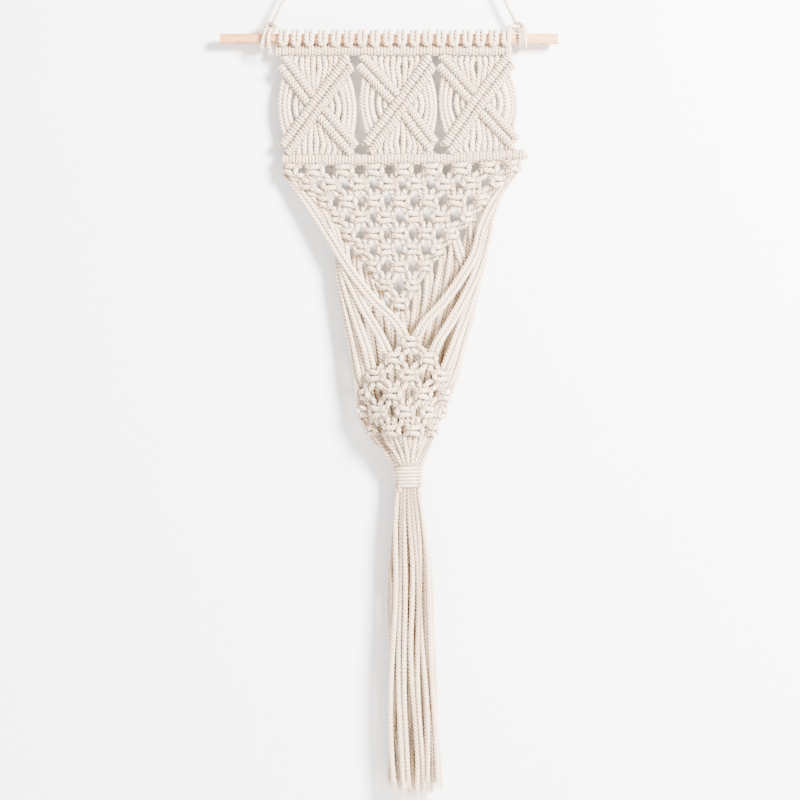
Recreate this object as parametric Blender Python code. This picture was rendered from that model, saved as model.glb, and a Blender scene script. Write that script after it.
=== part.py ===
"""Macrame wall hanging on a wooden dowel, with a knotted pocket and a tassel.

The frame has +X to the right, -Y towards the viewer and +Z up, and its origin is the point where the
hanging cord rests on its hook. The tables below are in millimetres: x is measured from the line below
the hook, and a drop is measured down from the axis of the dowel.
"""

import math

import bmesh
import bpy
from mathutils import Vector

MM = 0.001
GAP = 0.3  # between two pieces that touch

# Dowel
DOWEL_RADIUS = 5.25
DOWEL_LEFT = -175.0
DOWEL_RIGHT = 163.0
DOWEL_BELOW_HOOK = 255.0
DOWEL_SIDES = 24

# Cords
STRAND = 2.8  # corner radius of a four-sided strand that stands for a 5 mm cord
LOOP_STRAND = 2.5
HANGER_RADIUS = 2.0

# Lark's head knots over the dowel
HEADS = 18
HEADS_LEFT = -111.5
HEADS_PITCH = 13.1
HEAD_WIDTH = 2.0  # both cords of a head as one flat loop: its width as a share of one cord
HEAD_STEPS = 5
HEAD_FRONT = -50.0  # angles of the loop's two ends, degrees from the viewer's side, upwards
HEAD_BACK = 225.0
HEAD_DEPTH = 1.5  # between the feet of the loop, in the row of hitches

# Rows of double half hitches
TOP_BAR = {"left": -119.0, "right": 117.0, "drop": 11.5, "drop_right": 11.5}
LOW_BAR = {"left": -112.0, "right": 130.0, "drop": 121.0, "drop_right": 115.5}
BAR_RADIUS = 4.6
BAR_RIDGES = 9
BAR_BEND = 0.6  # where a row bends, as a share of its length
GROOVE = 0.8  # radius in the groove between two ridges, as a share of the full one

# The cloth is uneven: how far each kind of cord lies behind the middle of the cloth
LAYER = {"uprights": 0.37, "sides": -0.43, "legs": 0.21, "second_arms": 0.6}

# Crossed motifs: the centre and the four outer ends of the arms, as x and drop
MOTIFS = (
    {"centre": (-79.0, 68.0), "up_left": (-111.0, 24.0), "up_right": (-46.0, 24.0),
     "low_left": (-109.0, 109.0), "low_right": (-43.0, 109.0)},
    {"centre": (6.0, 65.5), "up_left": (-33.0, 23.0), "up_right": (35.0, 24.0),
     "low_left": (-27.0, 108.0), "low_right": (37.0, 105.0)},
    {"centre": (83.0, 64.0), "up_left": (48.0, 23.0), "up_right": (114.0, 21.0),
     "low_left": (53.0, 108.0), "low_right": (119.0, 102.0)},
)
ARM_RADIUS = 4.4
ARM_WIDTH = 1.85  # an arm is two rows side by side: its width as a share of its thickness
ARM_SEAM = 0.7  # thickness at the seam between the two rows
ARM_CREST = 1.2  # thickness along the middle of each row
ARM_SEAM_REACH = 0.1  # half the width of the seam, as a share of the radius
ARM_RIDGES = 7
ARM_SIDES = 8
UPRIGHTS = 6  # straight cords in the triangle above or below a crossing
UPRIGHT_INSET = 9.0
SIDE_SHARES = (0.0, 0.27, 0.73, 1.0)  # where a side cord bends
SIDE_CORDS = (
    # share of the arm, from its outer end, and how far the cord bulges outwards
    {"share": 0.08, "bulge": 8.5},
    {"share": 0.30, "bulge": 8.0},
    {"share": 0.54, "bulge": 7.0},
)

# Triangle of square knots
NET_ROWS = 5
NET_DROP = 137.0
NET_STEP = 31.0
NET_CENTRE = {"first": 6.0, "last": 4.5}
NET_PITCH = {"first": 53.0, "last": 46.0}
FRONT_ROWS = 3  # the ends of these upper rows run on into the pocket's front
KNOT = {"wide": 10.0, "thick": 4.8, "high": 19.0, "ridges": 2}
KNOT_SIDES = 6
KNOT_LEG = 5.0  # from the middle of a knot to the middle of the leg that enters it
FIRST_LEG = 13.0  # the same at the upper end of the first row's legs
LEG_OVERLAP = 2.0  # how far a leg runs into a knot
LEG_STAGGER = 0.1  # one leg of a knot lies this much behind the other
PAIR = 2.7  # half the spacing of two cords that run side by side
LEG_WIDTH = 1.6  # two cords side by side: their width as a share of one

# The pocket: its outline and how far its front stands out, row by row
POCKET = (
    {"drop": 128.0, "left": -108.0, "right": 123.0, "front": 4.0},
    {"drop": 190.0, "left": -73.0, "right": 99.0, "front": 6.0},
    {"drop": 233.0, "left": -58.0, "right": 87.0, "front": 8.0},
    {"drop": 272.0, "left": -47.0, "right": 77.0, "front": 12.0},
    {"drop": 304.0, "left": -41.0, "right": 67.0, "front": 18.0},
    {"drop": 330.0, "left": -37.0, "right": 60.0, "front": 25.0},
    {"drop": 356.0, "left": -33.0, "right": 53.0, "front": 30.0},
    {"drop": 382.0, "left": -28.0, "right": 48.0, "front": 29.0},
    {"drop": 404.0, "left": -15.0, "right": 40.0, "front": 21.0},
    {"drop": 426.0, "left": 0.0, "right": 27.0, "front": 13.0},
)
POCKET_EDGE = 7.5  # how far the pocket's side edges stand out
POCKET_FULLNESS = 0.7  # power of the front's section: below 1 it is fuller than an arc
POCKET_STRAND = 2.6
POCKET_KNOTS = (
    {"drop": 304.0, "across": (0.5,)},
    {"drop": 330.0, "across": (0.29, 0.73)},
    {"drop": 356.0, "across": (0.09, 0.5, 0.91)},
    {"drop": 382.0, "across": (0.28, 0.72)},
)
POCKET_KNOT = {"wide": 8.0, "thick": 4.4, "high": 15.0, "ridges": 2}
POCKET_LEG = 5.0  # height of a leg's end above or below the middle of a knot
NEXT_KNOT = 40.0  # knots of the next row within this reach are joined by a leg
SIDE_STEPS = 5
SIDE_START = 4.0  # from the middle of the triangle's knot, outwards
SIDE_FOOT = {"out": 3.5, "up": 4.0}  # from the middle of the pocket's knot
SIDE_SAG = (2.0, -4.0, -6.0)  # how far each pair of side cords bows towards the middle
SIDE_SWING = 1.5  # power of the curve by which they come forward
BACK_CORDS = {
    "strand": 2.5,
    "start_out": 3.5, "start_down": 4.0,  # from the middle of the knot they leave
    "bend_out": 7.0, "bend": 0.4, "bend_half": 2.0,  # first bend, and half the spacing of a pair there
    "left": -24.0, "right": 46.0, "drop": 345.0,  # where they are spread out behind the pocket
    "y": 1.5,
    "turn": 0.45, "turn_drop": 392.0,  # where they turn in towards the wrap
    "gathered": 0.62,  # half their width at the wrap, as a share of the wrap's
}
FRONT_CORDS = {
    "left": (-5.5, -1.5), "low": (-5.6, -1.9, 1.9, 5.6), "right": (1.5, 5.5),  # from the middle of a knot
    "down": 4.0,
    "bend_drop": 0.55, "bend_x": 0.42, "bend_y": 0.45,  # shares of the way to the wrap
    "gathered": 0.66,
}

# Gathering wrap and tassel
WRAP = {
    "x": 13.0, "y": -4.5, "top": 427.0, "bottom": 449.5,
    "wide": 15.5, "deep": 11.0,  # half its width and its depth
    "turns": 7, "sides": 12,
}
WRAP_STRAIGHT = 6.0  # length of the cords' upright ends above the wrap
WRAP_LAYER = 4.5  # from the middle of the wrap to the front and the back layer of cords
TASSEL = {
    "rows": 4, "columns": 8, "strand": 2.0, "steps": 4,
    "stagger": 0.25,  # sideways shift of every other row, in columns
    "rounding": 0.45,  # how much narrower the first and the last row are
    "inside": 3.0,  # how far up into the wrap the cords reach
    "top_wider": 2.0, "top_shallower": 3.0,  # than the wrap, just below it
    "top_width": 0.72, "widening": 1.6, "top_depth": 0.7, "deepening": 2.0,  # shares and their growth
    "width_power": 0.6, "depth_power": 0.4,
    "wave": 2.0, "waves": 1.3, "wave_shift": 0.13,
    "edge_shorter": 6.0, "uneven": 5.0, "column_phase": 3.0, "row_phase": 5.0,  # the uneven lower ends
}
TASSEL_END = {"x": 20.0, "drop": 751.0, "wide": 28.0, "deep": 11.5}

# Ties of the hanging cord on the dowel, and their short free ends
TIES = {
    "left": {"x": -124.0, "ends": ((-8.0, -9.0, 8.0), (2.0, -7.5, 17.0))},
    "right": {"x": 126.0, "ends": ((-17.0, -4.0, -16.0),)},
}
TIE_TURN = 3.9  # spacing of the two turns of a tie
TIE_STEPS = 10
TIE_SIDES = 6
TIE_SLANT = 0.05
TIE_LIFT = 2.2  # from the dowel's surface to the middle of a knot, in cord radii
TIE_KNOT = {"radius": 3.8, "half": 4.5, "y": -1.0, "lift": 0.6, "ridges": 2, "sides": 8}
FREE_END = {"y": -2.0, "thickness": 1.1, "bend_x": 0.5, "bend_out": 3.5, "bend_drop": 0.3}
HANGER_SIDES = 8
HOOK_BEND = 3.0
HOOK_STEPS = 4

COLOURS = {
    "oiled_beech": (0.62, 0.40, 0.24, 1.0),
    "cotton": (0.85, 0.79, 0.70, 1.0),
    "hanging_cotton": (0.84, 0.77, 0.67, 1.0),
}
WOOD_ROUGHNESS = 0.5
COTTON_ROUGHNESS = 0.9
SHARP_ANGLE = 40.0  # degrees


def place(x, y, drop):
    return Vector((x * MM, y * MM, -(DOWEL_BELOW_HOOK + drop) * MM))


def mix(a, b, share):
    return a + (b - a) * share


def clear_scene():
    for item in list(bpy.data.objects):
        bpy.data.objects.remove(item)


def new_collection(name):
    group = bpy.data.collections.new(name)
    bpy.context.scene.collection.children.link(group)
    return group


def finish_material(name, colour_name, roughness):
    material = bpy.data.materials.new(name)
    material.use_nodes = True
    shader = material.node_tree.nodes["Principled BSDF"]
    shader.inputs["Base Color"].default_value = COLOURS[colour_name]
    shader.inputs["Roughness"].default_value = roughness
    shader.inputs["Metallic"].default_value = 0.0
    return material


def tube(points, radius, sides=4, radii=None):
    """A closed tube along the points, as a mesh. Radii are shares of the radius, one for each point."""
    curve = bpy.data.curves.new("route", 'CURVE')
    curve.dimensions = '3D'
    curve.bevel_depth = radius * MM
    curve.bevel_resolution = (sides - 4) // 2
    curve.use_fill_caps = True
    spline = curve.splines.new('POLY')
    spline.points.add(len(points) - 1)
    for index, point in enumerate(points):
        spline.points[index].co = (*point, 1.0)
        if radii:
            spline.points[index].radius = radii[index]
    route = bpy.data.objects.new("route", curve)
    bpy.context.scene.collection.objects.link(route)
    bpy.context.view_layer.update()
    mesh = bpy.data.meshes.new_from_object(route.evaluated_get(bpy.context.evaluated_depsgraph_get()))
    bpy.data.objects.remove(route)
    shape = bmesh.new()
    shape.from_mesh(mesh)
    bmesh.ops.remove_doubles(shape, verts=shape.verts, dist=0.00001)
    shape.to_mesh(mesh)
    shape.free()
    return mesh


def ridged(points, radius, ridges, sides=6, flatten=1.0):
    """A ridged bar or knot along a route of a few points, its thickness in Y a share of its width."""
    lengths = [0.0]
    for first, second in zip(points, points[1:]):
        lengths.append(lengths[-1] + (second - first).length)
    steps = 2 * ridges
    route = []
    radii = []
    for index in range(steps + 1):
        reach = lengths[-1] * index / steps
        leg = max(k for k in range(len(points) - 1) if lengths[k] <= reach + 1e-9)
        share = (reach - lengths[leg]) / (lengths[leg + 1] - lengths[leg])
        route.append(points[leg].lerp(points[leg + 1], min(share, 1.0)))
        radii.append(1.0 if index % 2 else GROOVE)
    mesh = tube(route, radius, sides, radii)
    middle = points[0].lerp(points[-1], 0.5).y
    for vertex in mesh.vertices:
        vertex.co.y = middle + (vertex.co.y - middle) * flatten
    return mesh


def double_row(start, end):
    """Two ridged rows side by side with a seam between them, as one eight-sided bar."""
    mesh = ridged([start, end], ARM_RADIUS, ARM_RIDGES, ARM_SIDES)
    along = (end - start).normalized()
    across = Vector((along.z, 0.0, -along.x))
    for vertex in mesh.vertices:
        offset = (vertex.co - start).dot(across)
        vertex.co += across * offset * (ARM_WIDTH - 1.0)
        vertex.co.y *= ARM_SEAM if abs(offset) < ARM_SEAM_REACH * ARM_RADIUS * MM else ARM_CREST
    return mesh


def fuse(name, meshes, material, group, tools):
    """One object: the first mesh with all the others joined to it."""
    body = bpy.data.objects.new(name, meshes[0])
    body.data.name = name
    body.data.materials.append(material)
    group.objects.link(body)
    if len(meshes) > 1:
        others = bpy.data.collections.new(name + "_pieces")
        tools.children.link(others)
        for mesh in meshes[1:]:
            piece = bpy.data.objects.new(name + "_piece", mesh)
            piece.hide_render = True
            piece.display_type = 'WIRE'
            others.objects.link(piece)
        union = body.modifiers.new("union", 'BOOLEAN')
        union.operation = 'UNION'
        union.operand_type = 'COLLECTION'
        union.collection = others
        union.solver = 'MANIFOLD'  # EXACT leaves slivers where this many strands meet
    return body


def make_dowel(group):
    length = (DOWEL_RIGHT - DOWEL_LEFT) * MM
    bpy.ops.mesh.primitive_cylinder_add(vertices=DOWEL_SIDES, radius=DOWEL_RADIUS * MM, depth=length)
    dowel = bpy.context.object
    dowel.name = "dowel"
    dowel.rotation_euler = (0.0, math.pi / 2, 0.0)
    dowel.location = place((DOWEL_LEFT + DOWEL_RIGHT) / 2, 0.0, 0.0)
    for holder in list(dowel.users_collection):
        holder.objects.unlink(dowel)
    group.objects.link(dowel)
    dowel.data.materials.append(finish_material("oiled_beech", "oiled_beech", WOOD_ROUGHNESS))
    dowel.data.shade_smooth()
    dowel.data.set_sharp_from_angle(angle=math.radians(SHARP_ANGLE))


def loop_round_dowel(x, radius, start, end, steps):
    """Points of a loop round the dowel, clear of it, from one angle to another in degrees."""
    half_step = math.radians(abs(end - start)) / steps / 2
    reach = (DOWEL_RADIUS + GAP + radius) / math.cos(half_step)
    points = []
    for index in range(steps + 1):
        angle = math.radians(mix(start, end, index / steps))
        points.append(place(x, -reach * math.cos(angle), -reach * math.sin(angle)))
    return points


def lark_heads():
    meshes = []
    for head in range(HEADS):
        middle = HEADS_LEFT + head * HEADS_PITCH
        loop = loop_round_dowel(middle, LOOP_STRAND, HEAD_FRONT, HEAD_BACK, HEAD_STEPS)
        foot = place(middle, 0.0, TOP_BAR["drop"])
        mesh = tube([foot] + loop + [foot + Vector((0.0, HEAD_DEPTH * MM, 0.0))], LOOP_STRAND)
        for vertex in mesh.vertices:
            vertex.co.x += (vertex.co.x - foot.x) * (HEAD_WIDTH - 1.0)
        meshes.append(mesh)
    return meshes


def bar(row):
    left = place(row["left"], 0.0, row["drop"])
    middle = place(mix(row["left"], row["right"], BAR_BEND), 0.0, row["drop"])
    right = place(row["right"], 0.0, row["drop_right"])
    return ridged([left, middle, right], BAR_RADIUS, BAR_RIDGES)


def bar_drop(row, x):
    bend = mix(row["left"], row["right"], BAR_BEND)
    return mix(row["drop"], row["drop_right"], max(0.0, (x - bend) / (row["right"] - bend)))


def arm_point(motif, corner, share):
    """A point on an arm, as x and drop: share 0 is its outer end and share 1 the crossing."""
    end = motif[corner]
    return (mix(end[0], motif["centre"][0], share), mix(end[1], motif["centre"][1], share))


def arm_drop(motif, low, x):
    side = "left" if x < motif["centre"][0] else "right"
    end = motif[("low_" if low else "up_") + side]
    share = (x - end[0]) / (motif["centre"][0] - end[0])
    return mix(end[1], motif["centre"][1], min(max(share, 0.0), 1.0))


def crossed_motif(motif):
    meshes = []
    for first, second in (("up_right", "low_left"), ("up_left", "low_right")):
        layer = LAYER["second_arms"] if first == "up_left" else 0.0
        start = place(motif[first][0], layer, motif[first][1])
        end = place(motif[second][0], layer, motif[second][1])
        meshes.append(double_row(start, end))
    for low, first, second in ((False, "up_left", "up_right"), (True, "low_left", "low_right")):
        for index in range(UPRIGHTS):
            x = mix(motif[first][0] + UPRIGHT_INSET, motif[second][0] - UPRIGHT_INSET,
                    index / (UPRIGHTS - 1))
            row = LOW_BAR if low else TOP_BAR
            meshes.append(tube([place(x, LAYER["uprights"], bar_drop(row, x)),
                                place(x, LAYER["uprights"], arm_drop(motif, low, x))], STRAND))
    for side, sign in (("left", -1), ("right", 1)):
        for cord in SIDE_CORDS:
            top = arm_point(motif, "up_" + side, cord["share"])
            foot = arm_point(motif, "low_" + side, cord["share"])
            route = []
            for share in SIDE_SHARES:
                out = cord["bulge"] * sign * math.sin(math.pi * share)
                route.append(place(mix(top[0], foot[0], share) + out, LAYER["sides"],
                                   mix(top[1], foot[1], share)))
            meshes.append(tube(route, STRAND))
    return meshes


def net_knot(row, column):
    """The middle of a knot of the triangle, as x and drop."""
    share = row / (NET_ROWS - 1)
    pitch = mix(NET_PITCH["first"], NET_PITCH["last"], share)
    centre = mix(NET_CENTRE["first"], NET_CENTRE["last"], share)
    count = NET_ROWS - row
    return (centre + (column - (count - 1) / 2) * pitch, NET_DROP + row * NET_STEP)


def square_knot(x, y, drop, size):
    half = size["high"] / 2
    ends = [place(x, y, drop - half), place(x, y, drop + half)]
    return ridged(ends, size["wide"], size["ridges"], KNOT_SIDES, size["thick"] / size["wide"])


def leg(top, foot):
    """Two cords side by side as one flat strand between points given as x, y and drop."""
    start = place(*top)
    along = (place(*foot) - start).normalized()
    across = Vector((along.z, 0.0, -along.x)).normalized()
    mesh = tube([start, place(*foot)], STRAND)
    for vertex in mesh.vertices:
        vertex.co += across * (vertex.co - start).dot(across) * (LEG_WIDTH - 1.0)
    return mesh


def triangle_net():
    meshes = []
    for row in range(NET_ROWS):
        for column in range(NET_ROWS - row):
            x, drop = net_knot(row, column)
            meshes.append(square_knot(x, 0.0, drop, KNOT))
            for side in (-1, 1):
                if row == 0:
                    top = (x + side * FIRST_LEG, LAYER["legs"], bar_drop(LOW_BAR, x))
                else:
                    above_x, above_drop = net_knot(row - 1, column + (1 if side > 0 else 0))
                    top = (above_x - side * KNOT_LEG, LAYER["legs"],
                           above_drop + KNOT["high"] / 2 - LEG_OVERLAP)
                foot = (x + side * KNOT_LEG, LAYER["legs"] + side * LEG_STAGGER,
                        drop - KNOT["high"] / 2 + LEG_OVERLAP)
                meshes.append(leg(top, foot))
    return meshes


def back_cords():
    """The cords that leave the lower knots of the triangle and hang straight down to the wrap."""
    meshes = []
    low_rows = list(range(FRONT_ROWS, NET_ROWS))
    count = 4 * len(low_rows)
    half = BACK_CORDS["gathered"] * WRAP["wide"]
    index = 0
    order = [(row, -1) for row in low_rows] + [(row, 1) for row in reversed(low_rows)]
    for row, side in order:
        column = 0 if side < 0 else NET_ROWS - row - 1
        x, drop = net_knot(row, column)
        for twin in (-1, 1):
            lane = (index + 0.5) / count
            low_x = mix(WRAP["x"] - half, WRAP["x"] + half, lane)
            low_y = WRAP["y"] + WRAP_LAYER
            side_x = mix(BACK_CORDS["left"], BACK_CORDS["right"], lane)
            bend_x = mix(x + side * BACK_CORDS["bend_out"], side_x, BACK_CORDS["bend"])
            route = [
                place(x + side * BACK_CORDS["start_out"] + twin * PAIR, 0.0, drop + BACK_CORDS["start_down"]),
                place(bend_x + twin * BACK_CORDS["bend_half"], BACK_CORDS["y"],
                      mix(drop, BACK_CORDS["drop"], BACK_CORDS["bend"])),
                place(side_x, BACK_CORDS["y"], BACK_CORDS["drop"]),
                place(mix(side_x, low_x, BACK_CORDS["turn"]), BACK_CORDS["y"], BACK_CORDS["turn_drop"]),
                place(low_x, low_y, WRAP["top"] - WRAP_STRAIGHT),
                place(low_x, low_y, WRAP["top"] - GAP),
            ]
            meshes.append(tube(route, BACK_CORDS["strand"]))
            index += 1
    return meshes


def pocket_row(drop):
    for upper, lower in zip(POCKET, POCKET[1:]):
        if drop <= lower["drop"]:
            share = (drop - upper["drop"]) / (lower["drop"] - upper["drop"])
            return {key: mix(upper[key], lower[key], share) for key in upper}
    return POCKET[-1]


def on_pocket(across, drop):
    """A point of the pocket's front as x, y and drop: across runs from 0 at its left edge to 1."""
    row = pocket_row(drop)
    bulge = max(0.0, 1.0 - (2.0 * across - 1.0) ** 2) ** POCKET_FULLNESS
    edge = min(POCKET_EDGE, row["front"])
    return (mix(row["left"] + STRAND, row["right"] - STRAND, across), -mix(edge, row["front"], bulge), drop)


def pocket_side_cords():
    """The pairs of cords that leave the upper ends of the triangle and run to the pocket's knots."""
    meshes = []
    for row in range(FRONT_ROWS):
        for side in (-1, 1):
            column = 0 if side < 0 else NET_ROWS - row - 1
            start_x, start_drop = net_knot(row, column)
            start_drop += KNOT["high"] / 2 + PAIR
            knots = POCKET_KNOTS[row]
            foot = on_pocket(knots["across"][0 if side < 0 else -1], knots["drop"])
            for twin in (-1, 1):
                top_x = start_x + side * SIDE_START + twin * PAIR
                low_x = foot[0] + side * SIDE_FOOT["out"] + twin * PAIR
                route = []
                for step in range(SIDE_STEPS + 1):
                    share = step / SIDE_STEPS
                    x = mix(top_x, low_x, share) - side * SIDE_SAG[row] * math.sin(math.pi * share)
                    y = foot[1] * (1.0 - (1.0 - share) ** SIDE_SWING)
                    route.append(place(x, y, mix(start_drop, foot[2] - SIDE_FOOT["up"], share)))
                meshes.append(tube(route, POCKET_STRAND))
    return meshes


def pocket_net():
    """The knots of the pocket's front, the pairs between them and the cords that run to the wrap."""
    meshes = []
    knots = [[on_pocket(across, row["drop"]) for across in row["across"]] for row in POCKET_KNOTS]
    for row in knots:
        for x, y, drop in row:
            meshes.append(square_knot(x, y, drop, POCKET_KNOT))
    for upper, lower in zip(knots, knots[1:]):
        for upper_x, upper_y, upper_drop in upper:
            for side in (-1, 1):
                reached = [knot for knot in lower if 0.0 < side * (knot[0] - upper_x) < NEXT_KNOT]
                if reached:
                    foot_x, foot_y, foot_drop = min(reached, key=lambda knot: abs(knot[0] - upper_x))
                    meshes.append(leg((upper_x + side * KNOT_LEG, upper_y, upper_drop + POCKET_LEG),
                                      (foot_x - side * KNOT_LEG, foot_y, foot_drop - POCKET_LEG)))
    return meshes + gathered_cords(knots)


def gathered_cords(knots):
    """The twelve front cords from the pocket's lowest knots and its sides down to the wrap."""
    meshes = []
    groups = ((knots[2][0], "left"), (knots[3][0], "low"), (knots[3][1], "low"), (knots[2][2], "right"))
    starts = [(x + offset, y, drop + FRONT_CORDS["down"])
              for (x, y, drop), group in groups for offset in FRONT_CORDS[group]]
    half = FRONT_CORDS["gathered"] * WRAP["wide"]
    for index, start in enumerate(starts):
        low_x = WRAP["x"] + mix(-half, half, index / (len(starts) - 1))
        low_y = WRAP["y"] - WRAP_LAYER
        route = [
            place(*start),
            place(mix(start[0], low_x, FRONT_CORDS["bend_x"]), mix(start[1], low_y, FRONT_CORDS["bend_y"]),
                  mix(start[2], WRAP["top"], FRONT_CORDS["bend_drop"])),
            place(low_x, low_y, WRAP["top"] - WRAP_STRAIGHT),
            place(low_x, low_y, WRAP["top"] - GAP),
        ]
        meshes.append(tube(route, POCKET_STRAND))
    return meshes


def tassel_route(row, column):
    """The points of one loose cord, from inside the wrap to its cut end."""
    shift = TASSEL["stagger"] if row % 2 else -TASSEL["stagger"]
    across = 2.0 * (column + shift) / (TASSEL["columns"] - 1) - 1.0
    depth = 2.0 * row / (TASSEL["rows"] - 1) - 1.0
    narrow = math.sqrt(1.0 - TASSEL["rounding"] * depth ** 2)
    uneven = TASSEL["uneven"] * math.sin(TASSEL["column_phase"] * column + TASSEL["row_phase"] * row)
    end = TASSEL_END["drop"] - TASSEL["edge_shorter"] * abs(across) - uneven
    route = []
    for step in range(TASSEL["steps"] + 1):
        share = step / TASSEL["steps"]
        spread = min(1.0, TASSEL["top_width"] + TASSEL["widening"] * share) * narrow
        wide = mix(WRAP["wide"] + TASSEL["top_wider"], TASSEL_END["wide"], share ** TASSEL["width_power"])
        deep = mix(WRAP["deep"] - TASSEL["top_shallower"], TASSEL_END["deep"], share ** TASSEL["depth_power"])
        deep *= min(1.0, TASSEL["top_depth"] + TASSEL["deepening"] * share)
        turn = 2.0 * math.pi * (TASSEL["waves"] * share + TASSEL["wave_shift"] * row)
        middle = mix(WRAP["x"], TASSEL_END["x"], share) + TASSEL["wave"] * math.sin(turn) * share
        route.append(place(middle + across * (wide * spread - TASSEL["strand"]),
                           WRAP["y"] + depth * (deep - TASSEL["strand"]),
                           mix(WRAP["bottom"] - TASSEL["inside"], end, share)))
    return route


def tassel():
    """The gathering wrap with the loose cord ends that hang from it."""
    top = place(WRAP["x"], WRAP["y"], WRAP["top"])
    bottom = place(WRAP["x"], WRAP["y"], WRAP["bottom"])
    flatten = WRAP["deep"] / WRAP["wide"]
    meshes = [ridged([top, bottom], WRAP["wide"], WRAP["turns"], WRAP["sides"], flatten)]
    for row in range(TASSEL["rows"]):
        for column in range(TASSEL["columns"]):
            meshes.append(tube(tassel_route(row, column), TASSEL["strand"]))
    return meshes


def ring_on_dowel(x, radius, slant):
    """One turn of a tie: a closed ring round the dowel, clear of it, slanted by an angle in radians."""
    reach = (DOWEL_RADIUS + GAP + radius) / math.cos(math.pi / TIE_STEPS)
    bpy.ops.mesh.primitive_torus_add(major_segments=TIE_STEPS, minor_segments=TIE_SIDES, major_radius=reach * MM,
                                     minor_radius=radius * MM, location=place(x, 0.0, 0.0),
                                     rotation=(slant, math.pi / 2, slant))
    ring = bpy.context.object
    bpy.context.view_layer.update()
    mesh = ring.data.copy()
    mesh.transform(ring.matrix_world)
    bpy.data.objects.remove(ring)
    return mesh


def hanger_cord():
    """The hanging cord: its two straight runs over the hook and its ties on the dowel."""
    left, right = TIES["left"], TIES["right"]
    hang = HANGER_RADIUS + HOOK_BEND
    lift = DOWEL_RADIUS + GAP + HANGER_RADIUS * TIE_LIFT
    start = place(left["x"], 0.0, -lift)
    end = place(right["x"], 0.0, -lift)
    route = [start]
    rise = math.atan2(DOWEL_BELOW_HOOK - lift, (right["x"] - left["x"]) / 2)
    for step in range(HOOK_STEPS + 1):
        angle = mix(math.pi / 2 + rise, math.pi / 2 - rise, step / HOOK_STEPS)
        route.append(Vector((hang * math.cos(angle), 0.0, hang * math.sin(angle) - HOOK_BEND)) * MM)
    route.append(end)
    meshes = [tube(route, HANGER_RADIUS, HANGER_SIDES)]
    for tie in (left, right):
        for turn in (-0.5, 0.5):
            meshes.append(ring_on_dowel(tie["x"] + turn * TIE_TURN, HANGER_RADIUS, turn * TIE_SLANT))
        knot_ends = [place(tie["x"] + side * TIE_KNOT["half"], TIE_KNOT["y"], -lift - TIE_KNOT["lift"])
                     for side in (-1, 1)]
        meshes.append(ridged(knot_ends, TIE_KNOT["radius"], TIE_KNOT["ridges"], TIE_KNOT["sides"]))
        for end_x, end_y, end_drop in tie["ends"]:
            bend = place(tie["x"] + FREE_END["bend_x"] * end_x, end_y - FREE_END["bend_out"],
                         mix(-lift, end_drop, FREE_END["bend_drop"]))
            route = [place(tie["x"], FREE_END["y"], -lift), bend, place(tie["x"] + end_x, end_y, end_drop)]
            meshes.append(tube(route, HANGER_RADIUS * FREE_END["thickness"]))
    return meshes


def build():
    clear_scene()
    parts = new_collection("macrame_wall_hanging")
    tools = new_collection("joined_pieces")
    make_dowel(parts)
    cotton = finish_material("cotton", "cotton", COTTON_ROUGHNESS)
    cord = finish_material("hanging_cotton", "hanging_cotton", COTTON_ROUGHNESS)
    panel = [bar(TOP_BAR), bar(LOW_BAR)] + lark_heads()
    for motif in MOTIFS:
        panel += crossed_motif(motif)
    panel += triangle_net() + back_cords()
    fuse("back_panel", panel, cotton, parts, tools)
    fuse("pocket_front", pocket_net() + pocket_side_cords(), cotton, parts, tools)
    fuse("tassel", tassel(), cotton, parts, tools)
    fuse("hanger_cord", hanger_cord(), cord, parts, tools)


build()
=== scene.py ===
import random
from math import atan2, cos, pi, radians, sin, sqrt

import bmesh
import bpy
import numpy as np
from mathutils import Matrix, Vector
from mathutils.kdtree import KDTree


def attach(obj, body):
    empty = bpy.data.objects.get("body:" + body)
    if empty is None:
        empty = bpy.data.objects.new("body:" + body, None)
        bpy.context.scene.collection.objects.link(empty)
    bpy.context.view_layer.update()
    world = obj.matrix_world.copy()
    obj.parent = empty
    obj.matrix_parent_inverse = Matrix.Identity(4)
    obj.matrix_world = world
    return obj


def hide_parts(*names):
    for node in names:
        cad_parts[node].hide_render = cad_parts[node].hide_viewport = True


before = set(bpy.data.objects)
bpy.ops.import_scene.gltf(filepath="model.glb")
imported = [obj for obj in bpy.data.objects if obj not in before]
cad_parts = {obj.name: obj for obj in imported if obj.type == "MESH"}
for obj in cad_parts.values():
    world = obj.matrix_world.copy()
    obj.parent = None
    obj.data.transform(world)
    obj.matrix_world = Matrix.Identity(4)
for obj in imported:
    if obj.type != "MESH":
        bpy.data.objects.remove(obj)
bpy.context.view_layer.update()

mm = 0.001  # tables of the hanging are in millimetres, those of the room in metres
hookToDowel = 255.0  # the hook is the origin, y runs to the wall, and drops start at the dowel's axis
draw = random.Random(7)

cordLook = {"radius": 2.75, "step": 1.5, "twistPitch": 11.5, "lobes": 3, "sides": 12, "groove": 0.38,
            "grooveShape": 1.4, "turnByTone": 20.0, "uvAlong": 100.0, "uvAround": 1.5}
cordPieces = {  # the node that each piece replaces, and from how near another cord paints shade on it
    "larkHeads": ("back_panel", 1.35),
    "hitchRows": ("back_panel", 1.35),
    "motifCords": ("back_panel", 1.35),
    "netKnots": ("back_panel", 1.6),
    "backCords": ("back_panel", 1.35),
    "sideCords": ("pocket_front", 1.35),
    "pocketNet": ("pocket_front", 1.8),
    "wrapCord": ("tassel", 0.8),
    "tasselCords": ("tassel", 3.0),
    "hangerTwine": ("hanger_cord", 1.35),
}
slots = {"dowel": "wood", "back_panel": "cotton", "pocket_front": "cotton", "tassel": "cotton",
         "hanger_cord": "hanging_cotton"}
touching = {"search": 10.0, "ownReach": 9.0, "radiusShare": 0.9}  # ownReach is along a cord's own line


def at(x, y, drop):
    return np.array((x * mm, y * mm, -(hookToDowel + drop) * mm))


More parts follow.
